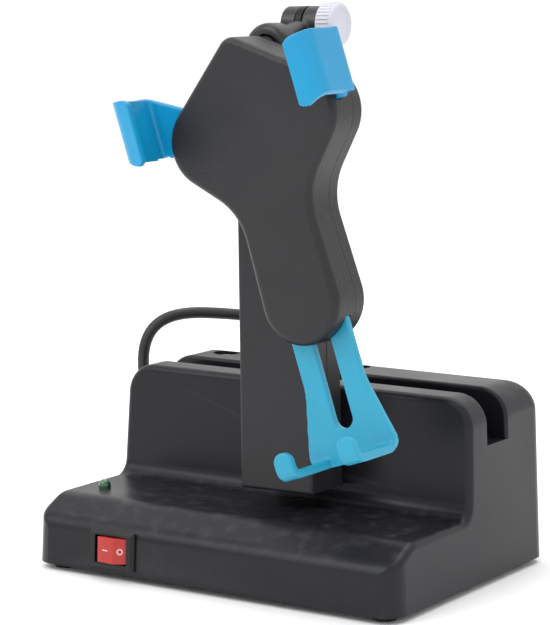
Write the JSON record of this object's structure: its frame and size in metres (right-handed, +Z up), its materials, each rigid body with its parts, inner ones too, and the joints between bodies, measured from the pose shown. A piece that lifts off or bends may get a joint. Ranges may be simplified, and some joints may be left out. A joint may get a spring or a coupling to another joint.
{
  "type": "motor-driven swinging phone stand",
  "caption": "Motor-driven phone stand: grooved base with rocker switch, swinging mast and a rolling cradle with clips and a sliding foot.",
  "frame": {"origin": "middle of the bounding footprint without the lead, on the table top", "axes": "+Z up, +Y towards the back, +X to the right seen from the front"},
  "size_m": [0.198, 0.2395, 0.2212],
  "materials": {
    "black_shell": "satin moulded, fine grain",
    "black_arm": "satin moulded",
    "blue_plastic": "gloss moulded",
    "bottom_plastic": "matte",
    "rubber": "matte",
    "red_plastic": "gloss",
    "switch_plastic": "matte",
    "lamp_green": "clear tinted",
    "board": "lacquered",
    "resistor": "lacquered",
    "zinc": "zinc plated",
    "brass": "bright",
    "bronze": "sintered",
    "steel": "turned",
    "motor_paint": "satin",
    "white_plastic": "satin moulded",
    "plug_black": "satin moulded"
  },
  "bodies": {
    "base": {"base_shell": "black_shell", "bottom_plate": "bottom_plastic", "rubber_feet": "rubber", "base_screws": "zinc", "top_screws": "zinc", "switch_body": "switch_plastic", "switch_tabs": "brass", "pilot_lamp": "lamp_green", "lamp_board": "board", "lamp_resistor": "resistor", "motor_bracket": "zinc", "motor_gearbox": "steel", "motor_can": "motor_paint", "motor_screws": "zinc", "pivot_housing": "white_plastic", "housing_screws": "zinc", "front_bush": "bronze", "rear_bush": "bronze", "strain_relief": "rubber", "cord": "rubber", "cord_coil": "rubber", "plug_body": "plug_black", "plug_pins": "brass"},
    "crank": {"crank_disc": "white_plastic", "crank_pin": "steel", "motor_shaft": "steel"},
    "rod": {"link_rod": "white_plastic"},
    "rocker": {"rocker": "red_plastic"},
    "mast": {"pivot_shaft": "steel", "swing_lever": "steel", "lever_pin": "steel", "shaft_ring": "steel", "mast_front_shell": "black_shell", "mast_rear_shell": "black_shell", "mast_screws": "zinc", "tilt_tongue": "steel"},
    "tilt_arm": {"neck_arm": "black_arm", "hinge_nut": "zinc"},
    "knob": {"clamp_knob": "white_plastic", "clamp_bolt": "zinc"},
    "collar": {"collar_nut": "black_shell"},
    "yaw_pad": {"outer_pad": "white_plastic"},
    "nod_pad": {"inner_pad": "white_plastic"},
    "cradle": {"ball_stud": "steel", "cradle_front_shell": "black_shell", "cradle_rear_shell": "black_shell", "cradle_screws": "zinc"},
    "foot": {"phone_foot": "blue_plastic"},
    "right_clip": {"right_clip": "blue_plastic"},
    "left_clip": {"left_clip": "blue_plastic"},
    "right_pinion": {"right_pinion": "white_plastic"},
    "left_pinion": {"left_pinion": "white_plastic"}
  },
  "joints": [
    {"name": "motor_crank", "type": "hinge", "parent": "base", "child": "crank", "pos_m": [-0.026, 0.03291, 0.02201], "axis": [0, 1, 0], "continuous": true},
    {"name": "rod_pivot", "type": "hinge", "parent": "crank", "child": "rod", "pos_m": [-0.026, 0.02941, 0.0263], "axis": [0, 1, 0], "continuous": true},
    {"name": "mast_swing", "type": "hinge", "parent": "base", "child": "mast", "pos_m": [0.0096, -0.01809, 0.042], "axis": [0, 1, 0], "range_deg": [-12, 12]},
    {"name": "rocker_press", "type": "hinge", "parent": "base", "child": "rocker", "pos_m": [-0.0429, -0.04865, 0.01208], "axis": [0, 0.0401, 0.9992], "range_deg": [-20, 0]},
    {"name": "head_tilt", "type": "hinge", "parent": "mast", "child": "tilt_arm", "pos_m": [0.00865, 0.00561, 0.21202], "axis": [0.9997, 0, 0.0232], "range_deg": [-50, 3]},
    {"name": "knob_turn", "type": "hinge", "parent": "tilt_arm", "child": "knob", "pos_m": [0.00865, 0.00561, 0.21202], "axis": [0.9997, 0, 0.0232], "range_deg": [-360, 0]},
    {"name": "collar_turn", "type": "hinge", "parent": "tilt_arm", "child": "collar", "pos_m": [0.00885, -0.02109, 0.20343], "axis": [0, 1, 0], "range_deg": [0, 360]},
    {"name": "ball_yaw", "type": "hinge", "parent": "tilt_arm", "child": "yaw_pad", "pos_m": [0.00885, -0.02109, 0.20343], "axis": [0, 0, 1], "range_deg": [-15, 15]},
    {"name": "ball_nod", "type": "hinge", "parent": "yaw_pad", "child": "nod_pad", "pos_m": [0.00885, -0.02109, 0.20343], "axis": [1, 0, 0], "range_deg": [-20, 4]},
    {"name": "ball_roll", "type": "hinge", "parent": "nod_pad", "child": "cradle", "pos_m": [0.00885, -0.02109, 0.20343], "axis": [0, 1, 0], "continuous": true},
    {"name": "foot_slide", "type": "slide", "parent": "cradle", "child": "foot", "axis": [0.32, 0, -0.9474], "range_m": [0, 0.005]},
    {"name": "right_clip_slide", "type": "slide", "parent": "cradle", "child": "right_clip", "axis": [-0.9474, 0, -0.32], "range_m": [0, 0.005]},
    {"name": "left_clip_slide", "type": "slide", "parent": "cradle", "child": "left_clip", "axis": [0.9474, 0, 0.32], "range_m": [0, 0.005]},
    {"name": "right_pinion_turn", "type": "hinge", "parent": "cradle", "child": "right_pinion", "pos_m": [0.03674, -0.04159, 0.17622], "axis": [0, 1, 0], "range_deg": [-53.1, 0]},
    {"name": "left_pinion_turn", "type": "hinge", "parent": "cradle", "child": "left_pinion", "pos_m": [0.00317, -0.04159, 0.16488], "axis": [0, 1, 0], "range_deg": [0, 53.1]}
  ],
  "couplings": [
    {"joint": "rod_pivot", "follows": "motor_crank", "ratio": -1},
    {"joint": "right_clip_slide", "follows": "foot_slide", "ratio": 1},
    {"joint": "left_clip_slide", "follows": "foot_slide", "ratio": 1},
    {"joint": "right_pinion_turn", "follows": "foot_slide", "rad_per_m": -185.19},
    {"joint": "left_pinion_turn", "follows": "foot_slide", "rad_per_m": 185.19}
  ]
}
